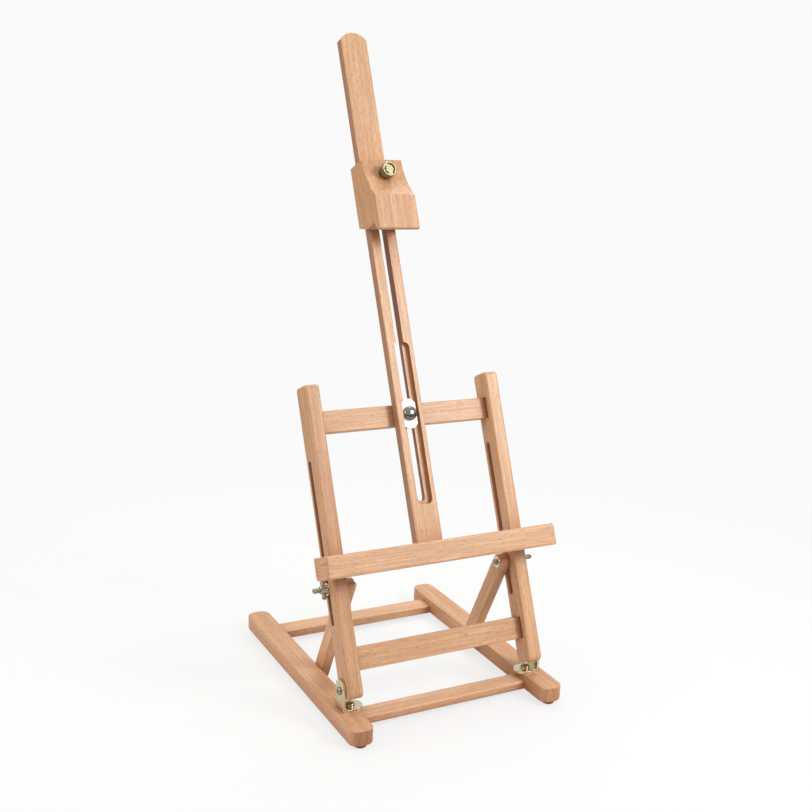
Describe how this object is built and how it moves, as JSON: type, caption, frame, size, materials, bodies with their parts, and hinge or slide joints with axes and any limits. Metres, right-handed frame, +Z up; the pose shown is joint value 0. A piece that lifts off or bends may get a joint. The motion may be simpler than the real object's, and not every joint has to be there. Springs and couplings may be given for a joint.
{
  "type": "tabletop easel",
  "caption": "Wooden tabletop easel: a flat base, a tilting slotted frame on struts, and a sliding mast with a shelf and a lockable head.",
  "frame": {"origin": "on the surface the easel stands on, under the middle of the rectangular base", "axes": "+Z up, +X to the right of a painter facing the easel, +Y to the back; the frame leans back towards +Y"},
  "size_m": [0.2106, 0.2568, 0.5414],
  "materials": {
    "beech_rail": "oiled, satin",
    "beech_upright": "oiled, satin",
    "beech_mast": "oiled, satin",
    "beech_shelf": "oiled, satin",
    "beech_head": "oiled, satin",
    "beech_strut": "oiled, satin",
    "beech_dowel": "oiled, satin",
    "plated_steel": "nickel plated, satin",
    "brass": "bright",
    "dark_chrome": "polished",
    "white_plastic": "smooth"
  },
  "bodies": {
    "base": {"base_rail_left": "beech_rail", "base_rail_right": "beech_rail", "base_crossbar_front": "beech_rail", "base_crossbar_rear": "beech_rail", "base_dowels": "beech_dowel", "foot_buttons": "beech_dowel", "bracket_left": "plated_steel", "bracket_right": "plated_steel", "bracket_screws": "plated_steel"},
    "frame": {"upright_left": "beech_upright", "upright_right": "beech_upright", "crossrail_lower": "beech_upright", "crossrail_upper": "beech_upright", "pivot_screws": "plated_steel", "clamp_plate": "white_plastic", "clamp_bolt": "dark_chrome", "clamp_washer": "plated_steel"},
    "clamp_wing_nut": {"clamp_wing_nut": "brass"},
    "mast": {"mast": "beech_mast", "shelf": "beech_shelf", "shelf_screws": "plated_steel"},
    "head": {"head_block": "beech_head", "head_bolt": "dark_chrome", "head_washer": "plated_steel"},
    "head_nut": {"head_nut": "brass"},
    "strut_bolts": {"strut_bolts": "plated_steel", "strut_washers_outer": "brass"},
    "struts": {"strut_left": "beech_strut", "strut_right": "beech_strut", "strut_pivot_screws": "plated_steel", "strut_washers_inner": "brass"},
    "wing_nut_left": {"wing_nut_left": "brass"},
    "wing_nut_right": {"wing_nut_right": "brass"}
  },
  "joints": [
    {"name": "frame_tilt", "type": "hinge", "parent": "base", "child": "frame", "pos_m": [0, -0.081, 0.0335], "axis": [-1, 0, 0], "range_deg": [-10, 56]},
    {"name": "mast_slide", "type": "slide", "parent": "frame", "child": "mast", "axis": [0, 0.4067, 0.9135], "range_m": [-0.047, 0.061]},
    {"name": "head_slide", "type": "slide", "parent": "mast", "child": "head", "axis": [0, 0.4067, 0.9135], "range_m": [-0.085, 0.004]},
    {"name": "head_nut_turn", "type": "hinge", "parent": "head", "child": "head_nut", "pos_m": [0, 0.05892, 0.42767], "axis": [0, 0.9135, -0.4067], "continuous": true},
    {"name": "clamp_nut_turn", "type": "hinge", "parent": "frame", "child": "clamp_wing_nut", "pos_m": [0, 0.01105, 0.22819], "axis": [0, 0.9135, -0.4067], "continuous": true},
    {"name": "strut_bolt_slide", "type": "slide", "parent": "frame", "child": "strut_bolts", "axis": [0, 0.4067, 0.9135], "range_m": [-0.0179, 0.1002]},
    {"name": "strut_swing", "type": "hinge", "parent": "strut_bolts", "child": "struts", "pos_m": [0, -0.04805, 0.1075], "axis": [-1, 0, 0], "range_deg": [-5, 28]},
    {"name": "wing_nut_left_turn", "type": "hinge", "parent": "strut_bolts", "child": "wing_nut_left", "pos_m": [-0.092, -0.04805, 0.1075], "axis": [-1, 0, 0], "continuous": true},
    {"name": "wing_nut_right_turn", "type": "hinge", "parent": "strut_bolts", "child": "wing_nut_right", "pos_m": [0.092, -0.04805, 0.1075], "axis": [1, 0, 0], "continuous": true}
  ],
  "couplings": [
    {"joint": "strut_bolt_slide", "follows": "frame_tilt", "m_per_rad": 0.10243},
    {"joint": "strut_swing", "follows": "frame_tilt", "ratio": 0.494}
  ]
}
